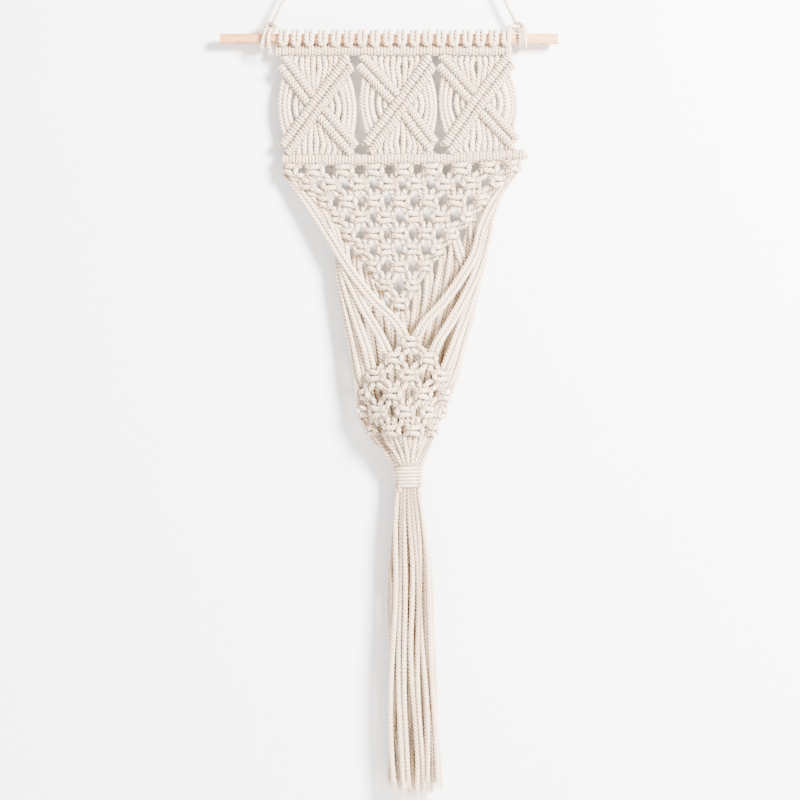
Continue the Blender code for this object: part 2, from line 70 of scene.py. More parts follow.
def mix(a, b, share):
    return a + (b - a) * share


def stray(reach):  # a random shift either way
    return draw.uniform(-reach, reach)


def reachAlong(route):  # distance of each point from the route's start
    return np.concatenate(([0.0], np.cumsum(np.linalg.norm(np.diff(route, axis=0), axis=1))))


def pointAlong(route, reach, want):
    return np.array([np.interp(want, reach, route[:, k]) for k in range(3)])


def smoothRoute(points, step):  # a smooth curve through the points, in even steps
    p = np.array(points, dtype=float)
    gaps = np.linalg.norm(np.diff(p, axis=0), axis=1)
    p = p[np.concatenate(([True], gaps > 1e-6))]
    t = reachAlong(p)
    slope = np.gradient(p, t, axis=0)
    fine = []
    for k in range(len(p) - 1):
        h = t[k + 1] - t[k]
        s = np.linspace(0.0, 1.0, max(3, int(h / step * 2) + 2), endpoint=False)[:, None]
        fine.append((2 * s**3 - 3 * s**2 + 1) * p[k] + (s**3 - 2 * s**2 + s) * h * slope[k]
                    + (3 * s**2 - 2 * s**3) * p[k + 1] + (s**3 - s**2) * h * slope[k + 1])
    fine = np.concatenate(fine + [p[-1:]])
    reach = reachAlong(fine)
    want = np.linspace(0.0, reach[-1], max(4, int(round(reach[-1] / step)) + 1))
    return np.stack([np.interp(want, reach, fine[:, k]) for k in range(3)], axis=1)


def addCord(bundle, points, radius=cordLook["radius"], pitch=cordLook["twistPitch"], tone=None):
    route = smoothRoute(points, cordLook["step"] * mm)
    if tone is None:
        tone = draw.random()
    bundle.append({"route": route, "radius": radius * mm, "pitch": pitch * mm, "tone": tone})
    return route


def placeObject(name, data):
    made = bpy.data.objects.new(name, data)
    bpy.context.scene.collection.objects.link(made)
    return made


def placePiece(mesh, node, finishes):
    piece = placeObject(mesh.name, mesh)
    mesh.materials.clear()
    mesh.materials.append(finishes[slots[node]])
    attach(piece, "root")
    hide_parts(node)
    print(mesh.name, "made,", sum(len(face.vertices) - 2 for face in mesh.polygons), "triangles")


def plyOutline():  # the section of a cord, with a groove between each two of its plies
    curve = bpy.data.curves.new("plyOutline", 'CURVE')
    spline = curve.splines.new('POLY')
    spline.points.add(cordLook["sides"] - 1)
    for k, point in enumerate(spline.points):
        turn = 2 * pi * k / cordLook["sides"]
        dip = (0.5 - 0.5 * cos(cordLook["lobes"] * turn)) ** cordLook["grooveShape"]
        reach = 1.0 - cordLook["groove"] * dip
        point.co = (reach * cos(turn), reach * sin(turn), 0.0, 1.0)
    spline.use_cyclic_u = True
    return placeObject("plyOutline", curve)


def newTubes(name):
    curve = bpy.data.curves.new(name, 'CURVE')
    curve.dimensions = '3D'
    curve.use_fill_caps = True
    return curve


def curveToMesh(curve):
    holder = placeObject(curve.name, curve)
    bpy.context.view_layer.update()
    mesh = bpy.data.meshes.new_from_object(holder.evaluated_get(bpy.context.evaluated_depsgraph_get()))
    mesh.name = curve.name
    bpy.data.objects.remove(holder)
    return mesh


def markPoints(mesh, tone, crest, contactShade):  # what the cotton reads: its tone, painted shade on some cords included, its plies for painted shade in the grooves, and painted shade where cords touch
    for name, values in (("tone", tone), ("crest", crest), ("contactShade", contactShade)):
        mesh.attributes.new(name, 'FLOAT', 'POINT').data.foreach_set("value", values)


def weld(mesh):  # joins the caps to the tubes
    shape = bmesh.new()
    shape.from_mesh(mesh)
    bmesh.ops.remove_doubles(shape, verts=shape.verts, dist=0.002 * mm)
    shape.to_mesh(mesh)
    shape.free()
    mesh.shade_smooth()


def layNeighbours(cords):  # the centre lines of all cords and of the dowel
    rod = np.array([at(x, 0.0, 0.0) for x in np.arange(dowelSize["left"], dowelSize["right"], 1.0)])
    routes = [cord["route"] for cord in cords]
    counts = [len(route) for route in routes] + [len(rod)]
    points = np.concatenate(routes + [rod])
    tree = KDTree(len(points))
    for k, point in enumerate(points):
        tree.insert(point, k)
    tree.balance()
    return {"tree": tree, "points": points, "owners": np.repeat(list(range(len(cords))) + [-1], counts),
            "reaches": np.concatenate([reachAlong(route) for route in routes] + [np.zeros(len(rod))]),
            "radii": np.repeat([cord["radius"] for cord in cords] + [dowelSize["radius"] * mm], counts)}


def nearness(rings, centres, owners, along, near, contact):  # painted shade, 1 where another cord touches
    shade = np.zeros(rings.shape[:2])
    for k, centre in enumerate(centres):
        close = np.array([hit[1] for hit in near["tree"].find_range(centre, touching["search"] * mm)])
        farOnOwn = abs(near["reaches"][close] - along[k]) > touching["ownReach"] * mm
        other = close[(near["owners"][close] != owners[k]) | farOnOwn]
        if len(other):
            reach = np.linalg.norm(rings[k][:, None, :] - near["points"][other][None, :, :], axis=2)
            gap = (reach - near["radii"][other][None, :] * touching["radiusShare"]).min(axis=1)
            shade[k] = np.clip(1.0 - gap / (contact * mm), 0.0, 1.0)
    return shade


def layTubes(name, cords, outline):
    curve = newTubes(name)
    curve.bevel_mode = 'OBJECT'
    curve.bevel_object = outline
    for cord in cords:
        count = len(cord["route"])
        spline = curve.splines.new('POLY')
        spline.points.add(count - 1)
        spline.points.foreach_set("co", np.column_stack((cord["route"], np.ones(count))).ravel())
        spline.points.foreach_set("radius", np.full(count, cord["radius"]))
        turn = cord["tone"] * cordLook["turnByTone"] - reachAlong(cord["route"]) / cord["pitch"] * 2 * pi
        spline.points.foreach_set("tilt", turn)
    return curveToMesh(curve)


def makeCords(name, cords, outline, near, firstOwner, finishes):
    node, contact = cordPieces[name]
    mesh = layTubes(name, cords, outline)
    sides, tonesAndShade = cordLook["sides"], [cord["tone"] for cord in cords]
    counts = [len(cord["route"]) for cord in cords]
    along = np.concatenate([reachAlong(cord["route"]) for cord in cords])
    caps = 2 * sides * len(cords)  # the caps' points come first, last cord first
    spots = np.zeros(len(mesh.vertices) * 3)
    mesh.vertices.foreach_get("co", spots)
    rings = spots.reshape(-1, 3)[caps:].reshape(-1, sides, 3)
    owners = np.repeat(np.arange(firstOwner, firstOwner + len(cords)), counts)
    centres = np.concatenate([cord["route"] for cord in cords])
    # painted shade where another cord or the dowel comes near
    contactShade = nearness(rings, centres, owners, along, near, contact)
    # ply height round the outline, 0 in a groove and 1 on a crest, which steers the painted shade in the
    # grooves
    plies = np.array([point.co.xy.length for point in outline.data.splines[0].points])
    plies = (plies - plies.min()) / np.ptp(plies)
    tone = np.concatenate((np.repeat(tonesAndShade[::-1], 2 * sides), np.repeat(np.repeat(tonesAndShade, counts), sides)))
    crest = np.concatenate((np.ones(caps), np.tile(plies, len(along))))
    markPoints(mesh, tone, crest, np.concatenate((np.zeros(caps), contactShade.ravel())))
    stretchMap(mesh, np.concatenate((np.zeros(caps), np.repeat(along, sides))))
    weld(mesh)
    placePiece(mesh, node, finishes)


def stretchMap(mesh, along):  # U runs along each cord at its real length
    layer = mesh.uv_layers[0]
    corners = np.zeros(len(mesh.loops), dtype=int)
    mesh.loops.foreach_get("vertex_index", corners)
    uv = np.zeros(len(mesh.loops) * 2)
    layer.uv.foreach_get("vector", uv)
    uv = uv.reshape(-1, 2)
    uv[:, 0] = along[corners] * cordLook["uvAlong"]
    uv[:, 1] *= cordLook["uvAround"]
    layer.uv.foreach_set("vector", uv.ravel())


def addNode(tree, kind, inputs=None, **settings):  # an input is a value or another node's output
    made = tree.nodes.new(kind)
    for key, value in settings.items():
        setattr(made, key, value)
    for socket, value in (inputs or {}).items():
        if hasattr(value, "is_linked"):
            tree.links.new(value, made.inputs[socket])
        else:
            made.inputs[socket].default_value = value
    return made


def mixColours(tree, factor, a, b):
    a, b = (value if hasattr(value, "is_linked") else (*value, 1.0) for value in (a, b))
    return addNode(tree, "ShaderNodeMix", {0: factor, 6: a, 7: b}, data_type='RGBA').outputs[2]


def ramp(tree, source, span):
    inputs = {"Value": source, "From Min": span[0], "From Max": span[1]}
    return addNode(tree, "ShaderNodeMapRange", inputs).outputs["Result"]


def noise(tree, place, look):
    return addNode(tree, "ShaderNodeTexNoise", {"Vector": place, **look}).outputs["Fac"]


def stretched(tree, place, scale, slant=0.0):
    inputs = {"Vector": place, "Scale": scale, "Rotation": (0.0, 0.0, radians(slant))}
    return addNode(tree, "ShaderNodeMapping", inputs).outputs["Vector"]


def calculate(tree, operation, a, b):
    return addNode(tree, "ShaderNodeMath", {0: a, 1: b}, operation=operation).outputs[0]


def newMaterial(name, surface):
    material = bpy.data.materials.new(name)
    material.use_nodes = True
    shader = material.node_tree.nodes["Principled BSDF"]
    for socket, value in surface.items():
        shader.inputs[socket].default_value = value
    return material, material.node_tree, shader


cottonLook = {
    "surface": {"Roughness": 0.88, "Specular IOR Level": 0.25, "Sheen Weight": 0.35, "Sheen Roughness": 0.6,
                "Subsurface Weight": 0.12, "Subsurface Radius": (1.0, 0.7, 0.5), "Subsurface Scale": 0.002},
    "light": (0.89, 0.755, 0.57), "dark": (0.68, 0.515, 0.34), "tonesAndShade": (-0.2, 3.2),
    # painted shade in the grooves between plies: its colour, the ply heights it spans and its strength
    "groove": (0.27, 0.165, 0.085), "grooveShadeRange": (0.75, 0.0), "grooveShade": 0.8,
    # painted shade where cords touch: its colour, shape and strength
    "contactShade": (0.20, 0.11, 0.05), "creaseShape": 1.3, "creaseShade": 0.9,
    "cloud": {"Scale": 45.0, "Detail": 3.0}, "clouds": (0.45, 1.1),
    "fibre": {"Scale": 1.0, "Detail": 4.0, "Roughness": 0.65}, "fibres": (0.62, 0.28),
    "fibreStretch": (7.0, 42.0, 1.0), "fibreSlant": 12.0, "fibreBump": {"Strength": 0.55, "Distance": 0.0006},
    "fuzz": {"Scale": 2600.0, "Detail": 2.0}, "fuzzBump": {"Strength": 0.25, "Distance": 0.0003},
}


def cottonCord(name, look):
    material, tree, shader = newMaterial(name, look["surface"])
    tone, crest, contactShade = (addNode(tree, "ShaderNodeAttribute", attribute_name=mark).outputs["Fac"]
                           for mark in ("tone", "crest", "contactShade"))
    place = addNode(tree, "ShaderNodeTexCoord").outputs["Object"]
    cordMap = addNode(tree, "ShaderNodeUVMap", uv_map="UVMap").outputs["UV"]
    fibres = noise(tree, stretched(tree, cordMap, look["fibreStretch"], look["fibreSlant"]), look["fibre"])
    base = mixColours(tree, ramp(tree, tone, look["tonesAndShade"]), look["light"], look["dark"])
    base = mixColours(tree, ramp(tree, noise(tree, place, look["cloud"]), look["clouds"]), base, look["dark"])
    base = mixColours(tree, ramp(tree, fibres, look["fibres"]), base, look["dark"])
    # painted shade in the grooves between plies
    grooveShadeShare = calculate(tree, 'MULTIPLY', ramp(tree, crest, look["grooveShadeRange"]), look["grooveShade"])
    base = mixColours(tree, grooveShadeShare, base, look["groove"])
    # painted shade where cords touch
    contactShadeMix = calculate(tree, 'POWER', contactShade, look["creaseShape"])
    contactShadeMix = calculate(tree, 'MULTIPLY', contactShadeMix, look["creaseShade"])
    tree.links.new(mixColours(tree, contactShadeMix, base, look["contactShade"]), shader.inputs["Base Color"])
    bump = addNode(tree, "ShaderNodeBump", {"Height": fibres, **look["fibreBump"]}).outputs["Normal"]
    fuzz = {"Height": noise(tree, place, look["fuzz"]), "Normal": bump, **look["fuzzBump"]}
    tree.links.new(addNode(tree, "ShaderNodeBump", fuzz).outputs["Normal"], shader.inputs["Normal"])
    return material


woodLook = {
    "surface": {"Specular IOR Level": 0.35},
    "pale": (0.70, 0.36, 0.155), "grain": (0.42, 0.185, 0.075), "pore": (0.16, 0.06, 0.02),
    "grainNoise": {"Scale": 1.0, "Detail": 5.0, "Roughness": 0.6, "Distortion": 0.4},
    "grainStretch": (9.0, 190.0, 190.0), "grains": (0.38, 0.64), "roughness": (-0.6, 1.5),
    "poreNoise": {"Scale": 1.0, "Detail": 2.0}, "poreStretch": (120.0, 1500.0, 1500.0), "pores": (0.55, 0.75),
    "poreBump": {"Strength": 0.3, "Distance": 0.0003},
}


def sandedBeech(name, look):
    material, tree, shader = newMaterial(name, look["surface"])
    place = addNode(tree, "ShaderNodeTexCoord").outputs["Object"]
    grain = noise(tree, stretched(tree, place, look["grainStretch"]), look["grainNoise"])
    pores = noise(tree, stretched(tree, place, look["poreStretch"]), look["poreNoise"])
    base = mixColours(tree, ramp(tree, grain, look["grains"]), look["pale"], look["grain"])
    base = mixColours(tree, ramp(tree, pores, look["pores"]), base, look["pore"])
    tree.links.new(base, shader.inputs["Base Color"])
    tree.links.new(ramp(tree, grain, look["roughness"]), shader.inputs["Roughness"])
    bump = addNode(tree, "ShaderNodeBump", {"Height": pores, **look["poreBump"]}).outputs["Normal"]
    tree.links.new(bump, shader.inputs["Normal"])
    return material


dowelSize = {"radius": 5.25, "left": -175.0, "right": 163.0, "sides": 64, "edge": 0.6, "sharp": 35.0}


def makeDowel(finishes):
    size, shape = dowelSize, bmesh.new()
    bmesh.ops.create_cone(shape, cap_ends=True, segments=size["sides"], radius1=size["radius"] * mm,
                          radius2=size["radius"] * mm, depth=(size["right"] - size["left"]) * mm)
    rims = [edge for edge in shape.edges if abs(edge.verts[0].co.z - edge.verts[1].co.z) < 1e-6]
    bmesh.ops.bevel(shape, geom=rims, offset=size["edge"] * mm, offset_type='OFFSET', segments=2, profile=0.5,
                    affect='EDGES', material=-1)
    middle = Vector(at((size["left"] + size["right"]) / 2, 0.0, 0.0))
    for vertex in shape.verts:
        x, y, z = vertex.co
        vertex.co = middle + Vector((z, y, -x))
    bmesh.ops.recalc_face_normals(shape, faces=shape.faces)
    mesh = bpy.data.meshes.new("dowelRod")
    shape.to_mesh(mesh)
    shape.free()
    mesh.shade_smooth()
    mesh.set_sharp_from_angle(angle=radians(size["sharp"]))
    placePiece(mesh, "dowel", finishes)


heads = {"count": 18, "left": -111.5, "pitch": 13.1, "spread": 2.6, "shift": 0.35, "lift": 0.3}
headTurn = (  # y and drop of one cord, from the row of hitches up behind the dowel and down its front
    (-0.5, 13.0), (2.6, 10.0), (6.2, 5.0), (7.5, 0.0), (5.3, -5.3), (0.0, -7.5), (-5.3, -5.3), (-7.5, 0.0),
    (-7.4, 2.8),
)
headBight = ((-2.0, -7.3, 5.4), (0.0, -7.2, 6.5), (2.0, -7.3, 5.4))  # x, y and drop of the loop in front


def addHeads(bundle):
    for head in range(heads["count"]):
        x = heads["left"] + head * heads["pitch"] + stray(heads["shift"])
        lift = stray(heads["lift"])
        left = [at(x - heads["spread"], y, drop) for y, drop in headTurn]
        right = [at(x + heads["spread"], y, drop) for y, drop in reversed(headTurn)]
        addCord(bundle, left + [at(x + side, y, drop + lift) for side, y, drop in headBight] + right)
    print("lark's heads laid")


rowHitches = {"coil": 3.7, "radius": 2.3, "pitch": 3.3, "lean": 1.1, "carrierY": 0.2}
coilLook = {"step": 0.4, "slopeReach": 0.5, "points": 8, "twistPitch": 8.0, "pairing": 0.09,
            "waver": 0.06, "waverPace": 7.1}
topRow = ((-119.0, 11.8), (-60.0, 11.2), (0.0, 11.4), (60.0, 11.2), (117.0, 11.6))  # x and drop
lowRow = ((-112.0, 121.0), (-60.0, 121.4), (0.0, 120.6), (45.0, 120.4), (90.0, 118.0), (131.0, 115.0))


def rowDrop(row, x):
    return float(np.interp(x, [p[0] for p in row], [p[1] for p in row]))


def addHitches(bundle, points, size, way=1):  # one coil stands for a row of double half hitches
    route, near = smoothRoute(points, coilLook["step"] * mm), coilLook["slopeReach"] * mm
    reach = reachAlong(route)
    turns = int(round(reach[-1] / mm / size["pitch"] / 2)) * 2
    coil, spots = size["coil"] * mm, []
    for k in range(turns * coilLook["points"] + 1):
        turn = k / coilLook["points"]
        share = min(max((turn + coilLook["pairing"] * sin(pi * turn)) / turns, 0.0), 1.0)
        want, angle = share * reach[-1], 2 * pi * turn
        ahead = pointAlong(route, reach, want + near) - pointAlong(route, reach, want - near)
        ahead /= np.linalg.norm(ahead)
        across = np.array((ahead[2], 0.0, -ahead[0]))
        across /= np.linalg.norm(across)
        out = across * coil * cos(angle) * (1.0 + coilLook["waver"] * sin(coilLook["waverPace"] * turn))
        front = np.array((0.0, -coil * sin(angle), 0.0))
        lean = ahead * size["lean"] * way * mm * cos(angle) * 0.5
        spots.append(pointAlong(route, reach, want) + out + front + lean)
    addCord(bundle, spots, size["radius"], coilLook["twistPitch"])


def addRows(hitches, carriers):
    for row in (topRow, lowRow):
        addHitches(hitches, [at(x, 0.0, drop) for x, drop in row], rowHitches)
        addCord(carriers, [at(x, rowHitches["carrierY"], drop) for x, drop in row])
    print("rows of hitches laid")


motifs = (  # crossing and outer ends of the arms, as x and drop
    {"centre": (-79.0, 67.5), "upLeft": (-111.0, 25.0), "upRight": (-47.0, 25.0),
     "lowLeft": (-109.5, 110.0), "lowRight": (-42.5, 110.0)},
    {"centre": (6.0, 65.5), "upLeft": (-32.5, 24.0), "upRight": (34.5, 25.0),
     "lowLeft": (-26.5, 108.5), "lowRight": (37.0, 106.5)},
    {"centre": (83.0, 64.0), "upLeft": (47.5, 24.0), "upRight": (114.5, 22.5),
     "lowLeft": (53.0, 109.0), "lowRight": (119.0, 103.5)},
)
arms = {"coil": 2.75, "radius": 2.1, "pitch": 3.5, "lean": 1.0, "offset": 4.35, "front": -1.7, "over": -0.8,
        "under": 2.0, "beyondTop": 4.5, "beyondLow": 4.0, "crossing": 8.0}
armEnds = (  # top, foot, how it passes the crossing, and which of its rows runs on at the top
    ("upRight", "lowLeft", "over", 1), ("upLeft", "lowRight", "under", -1),
)
armShares = (0.0, 0.25, 0.42, 0.5, 0.58, 0.75, 1.0)


def addArms(bundle, motif):  # two rows of hitches an arm, and one of them runs on at each end
    centre = motif["centre"]
    for top, foot, dip, longer in armEnds:
        start, end = motif[top], motif[foot]
        along = Vector((end[0] - start[0], end[1] - start[1])).normalized()
        side = Vector((-along.y, along.x)) * arms["offset"]
        for sign in (-1, 1):
            before = arms["beyondTop"] if sign == longer else 0.0
            after = arms["beyondLow"] if sign == -longer else 0.0
            spots = []
            for share in armShares:
                if share <= 0.5:
                    x, drop = (mix(start[i] - along[i] * before, centre[i], share * 2) for i in (0, 1))
                else:
                    x, drop = (mix(centre[i], end[i] + along[i] * after, share * 2 - 1) for i in (0, 1))
                near = max(0.0, 1.0 - abs(share - 0.5) * arms["crossing"])
                spots.append(at(x + side.x * sign, arms["front"] + arms[dip] * near, drop + side.y * sign))
            addHitches(bundle, spots, arms, sign)


def armDrop(motif, low, x):
    ends = ("lowLeft", "lowRight") if low else ("upLeft", "upRight")
    end = motif[ends[0] if x < motif["centre"][0] else ends[1]]
    share = (x - end[0]) / (motif["centre"][0] - end[0])
    return mix(end[1], motif["centre"][1], min(max(share, 0.0), 1.0))


uprights = {"cords": 12, "radius": 2.9, "edge": 1.5, "fan": -0.02, "pull": 1.6, "slackLength": 30.0,
            "stray": 0.8, "startY": 2.6, "bend": 0.1, "bendY": 1.4, "freeY": 0.6, "depthStray": 0.9,
            "endY": 2.2}
uprightLeans = ((0.3, -0.5), (0.6, 0.5), (0.82, 0.9))  # share of the way to the arm, and how it leans there


def addUprights(bundle, motif):  # the cords between a row of hitches and the arms
    size, bend, middle = uprights, uprights["bend"], motif["centre"][0]
    for low, row, ends in ((False, topRow, ("upLeft", "upRight")), (True, lowRow, ("lowLeft", "lowRight"))):
        left, right = motif[ends[0]][0] + size["edge"], motif[ends[1]][0] - size["edge"]
        for cord in range(size["cords"]):
            x = mix(left, right, cord / (size["cords"] - 1))
            rowX = x if low else mix(x, middle, size["fan"])
            start, end = rowDrop(row, rowX), armDrop(motif, low, x)
            pull = size["pull"] if x < middle else -size["pull"]
            slack = min(1.0, abs(end - start) / size["slackLength"])
            spots = [at(rowX, size["startY"], start),
                     at(mix(rowX, x, bend), size["bendY"], mix(start, end, bend + bend * slack))]
            for part, lean in uprightLeans:
                out = (pull * lean + stray(size["stray"])) * slack
                y = size["freeY"] + stray(size["depthStray"])
                spots.append(at(mix(rowX, x, part) + out, y, mix(start, end, part)))
            addCord(bundle, spots + [at(x, size["endY"], end)], size["radius"])


bows = (  # share of the arm from its outer end, and how far the cord bows out and forward
    (0.12, 8.2, 0.5), (0.25, 8.6, -0.5), (0.39, 8.5, 0.4), (0.56, 7.5, -0.4), (0.72, 6.5, 0.3),
)
bowLook = {"shares": (0.0, 0.15, 0.32, 0.5, 0.68, 0.85, 1.0), "widths": (0.88, 1.1), "shape": 0.8, "y": 0.5}


def addBows(bundle, motif):  # the cords that bow out between an upper and a lower arm
    for side, sign in (("Left", -1), ("Right", 1)):
        for place, out, front in bows:
            top, foot = ([mix(motif[end + side][i], motif["centre"][i], place) for i in (0, 1)]
                         for end in ("up", "low"))
            wide, spots = sign * out * draw.uniform(*bowLook["widths"]), []
            for share in bowLook["shares"]:
                bend = sin(pi * share)
                x = mix(top[0], foot[0], share) + wide * bend ** bowLook["shape"]
                spots.append(at(x, front * bend + bowLook["y"], mix(top[1], foot[1], share)))
            addCord(bundle, spots)


def addMotifs(hitches, bundle):
    for motif in motifs:
        addArms(hitches, motif)
        addUprights(bundle, motif)
        addBows(bundle, motif)
    print("motifs laid")


knotSize = {"cord": 2.95, "core": 2.9, "coreY": 0.2, "coreReach": 6.4, "coreWaist": 0.9, "worker": 8.4}
overCord = (  # x, y and height of the cord that crosses in front twice
    (-8.4, -0.8, 4.3), (-6.8, -2.6, 4.4), (-4.0, -4.4, 3.8), (0.0, -5.1, 3.1), (4.0, -4.6, 2.6),
    (6.9, -2.6, 1.9), (8.2, -0.6, 0.0), (6.9, -2.6, -1.9), (4.0, -4.6, -2.5), (0.0, -5.1, -3.0),
    (-4.0, -4.4, -3.8), (-6.8, -2.6, -4.4), (-8.4, -0.8, -4.3),
)
underCord = (  # the cord that crosses behind twice and shows as loops at the sides
    (8.4, -0.8, 4.3), (7.7, -2.8, 4.2), (6.7, -4.3, 3.4), (5.6, -3.0, 1.0), (4.6, 1.8, 0.6),
    (1.5, 4.3, 1.6), (-1.5, 4.3, 2.2), (-4.8, 1.6, 3.6), (-6.2, -2.6, 3.9), (-7.5, -3.9, 2.3),
    (-8.1, -3.8, 0.0), (-7.5, -3.9, -2.3), (-6.2, -2.6, -3.9), (-4.6, 1.6, -4.0), (-1.5, 4.3, -2.8),
    (1.5, 4.3, -2.2), (4.6, 1.8, -0.9), (5.9, -2.6, -1.2), (7.1, -3.9, -2.9), (7.8, -2.5, -4.2),
    (8.4, -0.8, -4.3),
)
coreLeave = ((2.6, -0.6, 3.6), (2.9, -1.2, 7.0))  # x, y and height where a core cord leaves the knot
workerLeave = ((6.6, -2.2, 4.0), (8.4, -1.0, 4.3))


def knotFrame(x, y, drop, yaw, tip, roll, squeeze, scale):  # turns the knot's own places into the hanging's
    cosY, sinY, cosT, sinT, cosR, sinR = (f(angle) for angle in (yaw, tip, roll) for f in (cos, sin))
    origin = at(x, y, drop)

    def spot(a, b, c):
        a, b, c = a * squeeze * scale, b * scale, c * scale
        a, c = a * cosR + c * sinR, -a * sinR + c * cosR
        b, c = b * cosT + c * sinT, -b * sinT + c * cosT
        a, b = a * cosY - b * sinY, a * sinY + b * cosY
        return origin + np.array((a, b, c)) * mm
    spot.scale = scale
    return spot


def addKnot(bundle, spot, mirror):  # a square knot of two working cords round two core cords
    size, radius = knotSize, knotSize["cord"] * spot.scale
    y, reach = size["coreY"], size["coreReach"]
    for cord in (overCord, underCord):
        addCord(bundle, [spot(a * mirror, b, c) for a, b, c in cord], radius)
    for side in (-size["core"], size["core"]):
        core = [spot(side, y, reach), spot(side * size["coreWaist"], 0.0, 0.0), spot(side, y, -reach)]
        addCord(bundle, core, radius)


def legEnds(spot, side, up):
    return [[spot(side * a, b, c if up else -c) for a, b, c in leave] for leave in (coreLeave, workerLeave)]


def addLeg(bundle, upper, lower, side):  # the two cords from one knot to a knot of the next row
    topCore, topWorker = legEnds(upper, side, False)
    lowCore, lowWorker = legEnds(lower, -side, True)
    radius = knotSize["cord"] * (upper.scale + lower.scale) / 2
    addCord(bundle, topCore + lowWorker[::-1], radius)
    addCord(bundle, topWorker + lowCore[::-1], radius)


netRows = (  # drop of each row, size of its knots and their x
    (131.0, 0.97, (-104.0, -80.5, -51.0, -21.0, 8.0, 37.0, 66.0, 94.0, 117.0)),
    (145.8, 0.97, (-87.0, -64.0, -36.0, -6.5, 21.0, 50.0, 76.0, 102.0)),
    (162.8, 0.96, (-69.5, -47.5, -21.0, 5.0, 33.0, 61.0, 86.0)),
    (178.5, 0.93, (-58.0, -35.0, -9.0, 18.5, 45.0, 72.0)),
    (195.0, 0.91, (-46.0, -21.0, 4.0, 31.0, 55.0)),
    (211.0, 0.9, (-33.0, -9.0, 17.0, 42.0)),
    (227.5, 0.89, (-21.0, 4.0, 29.0)),
    (246.0, 0.9, (-10.0, 17.0)),
    (264.4, 0.92, (4.3,)),
)
netLook = {"forward": -0.6, "back": 0.4, "dropStray": 0.5, "rollStray": 0.05, "edgeRoll": 0.16,
           "edgeYaw": -0.35, "edgeSqueeze": 0.84, "slopedRows": 3, "slope": 0.7, "levelDrop": 121.0,
           "carrierOut": 2.2, "carrierY": 2.4}


def addNetKnot(bundle, number, edge, x, drop, scale):
    look = netLook
    if number < look["slopedRows"]:
        drop += (rowDrop(lowRow, x) - look["levelDrop"]) * look["slope"]
    y = draw.uniform(look["forward"], look["back"])
    drop += stray(look["dropStray"])
    roll = look["edgeRoll"] * edge + stray(look["rollStray"])
    squeeze = look["edgeSqueeze"] if edge else 1.0
    spot = knotFrame(x, y, drop, look["edgeYaw"] * edge, 0.0, roll, squeeze, scale)
    addKnot(bundle, spot, 1 if number % 2 else -1)
    return spot


def addNet(bundle):
    rows = []
    for number, (drop, scale, places) in enumerate(netRows):
        edges = [(k == 0) - (k == len(places) - 1) for k in range(len(places))]
        rows.append([addNetKnot(bundle, number, edge, x, drop, scale) for edge, x in zip(edges, places)])
    for number, row in enumerate(rows):
        for k, spot in enumerate(row):
            for side in (-1, 1):
                if number:
                    addLeg(bundle, rows[number - 1][k + (side > 0)], spot, -side)
                    continue
                for low, end in legEnds(spot, side, True):
                    x = end[0] / mm + side * netLook["carrierOut"]
                    carrier = at(x, netLook["carrierY"], rowDrop(lowRow, x))
                    addCord(bundle, [carrier, end, low], knotSize["cord"] * spot.scale)
    print("triangle of knots laid")
    return rows


pocketOutline = (  # drop, left and right edge, and how far the front stands out
    (233.0, -58.0, 87.0, 8.0), (272.0, -47.0, 77.0, 12.0), (304.0, -41.0, 67.0, 18.0),
    (330.0, -37.0, 60.0, 25.0), (356.0, -33.5, 54.0, 30.0), (382.0, -28.0, 48.0, 29.0),
    (404.0, -15.0, 40.0, 21.0), (426.0, 0.0, 27.0, 13.0),
)
pocketRows = (  # drop of each row, the narrowing of its two edge knots and the x of all
    (304.3, 1.0, (15.6,)),
    (320.5, 1.0, (-1.0, 32.0)),
    (337.5, 1.0, (-18.0, 14.0, 44.0)),
    (355.0, 0.84, (-28.0, -2.0, 26.5, 47.0)),
    (372.5, 0.8, (-29.5, -15.5, 10.0, 32.0, 44.0)),
    (389.5, 0.66, (-21.5, -2.5, 18.5, 35.5)),
)
pocketLook = {"edgeFront": 7.5, "edgeMargin": 3.0, "bulge": 0.7, "scale": 0.97, "rollStray": 0.06,
              "across": 3.0, "down": 4.0}


def pocketSurface(x, drop):  # y of the pocket's front
    drops, *edges = zip(*pocketOutline)
    left, right, front = (float(np.interp(drop, drops, edge)) for edge in edges)
    margin = pocketLook["edgeMargin"]
    across = min(max((x - left - margin) / (right - left - 2 * margin), 0.0), 1.0)
    bulge = max(0.0, 1.0 - (2 * across - 1) ** 2) ** pocketLook["bulge"]
    return -mix(min(pocketLook["edgeFront"], front), front, bulge)


def addPocketKnot(bundle, number, squeeze, x, drop):  # it lies flat on the pocket's front
    across, down = pocketLook["across"], pocketLook["down"]
    yaw = atan2(pocketSurface(x + across, drop) - pocketSurface(x - across, drop), 2 * across)
    tip = atan2(pocketSurface(x, drop + down) - pocketSurface(x, drop - down), 2 * down)
    roll = stray(pocketLook["rollStray"])
    spot = knotFrame(x, pocketSurface(x, drop), drop, yaw, -tip, roll, squeeze, pocketLook["scale"])
    addKnot(bundle, spot, -1 if number % 2 else 1)
    return spot


def addPocketKnots(bundle):
    rows = []
    for number, (drop, squeeze, places) in enumerate(pocketRows):
        last = len(places) - 1
        rows.append([addPocketKnot(bundle, number, squeeze if k in (0, last) else 1.0, x, drop)
                     for k, x in enumerate(places)])
    return rows


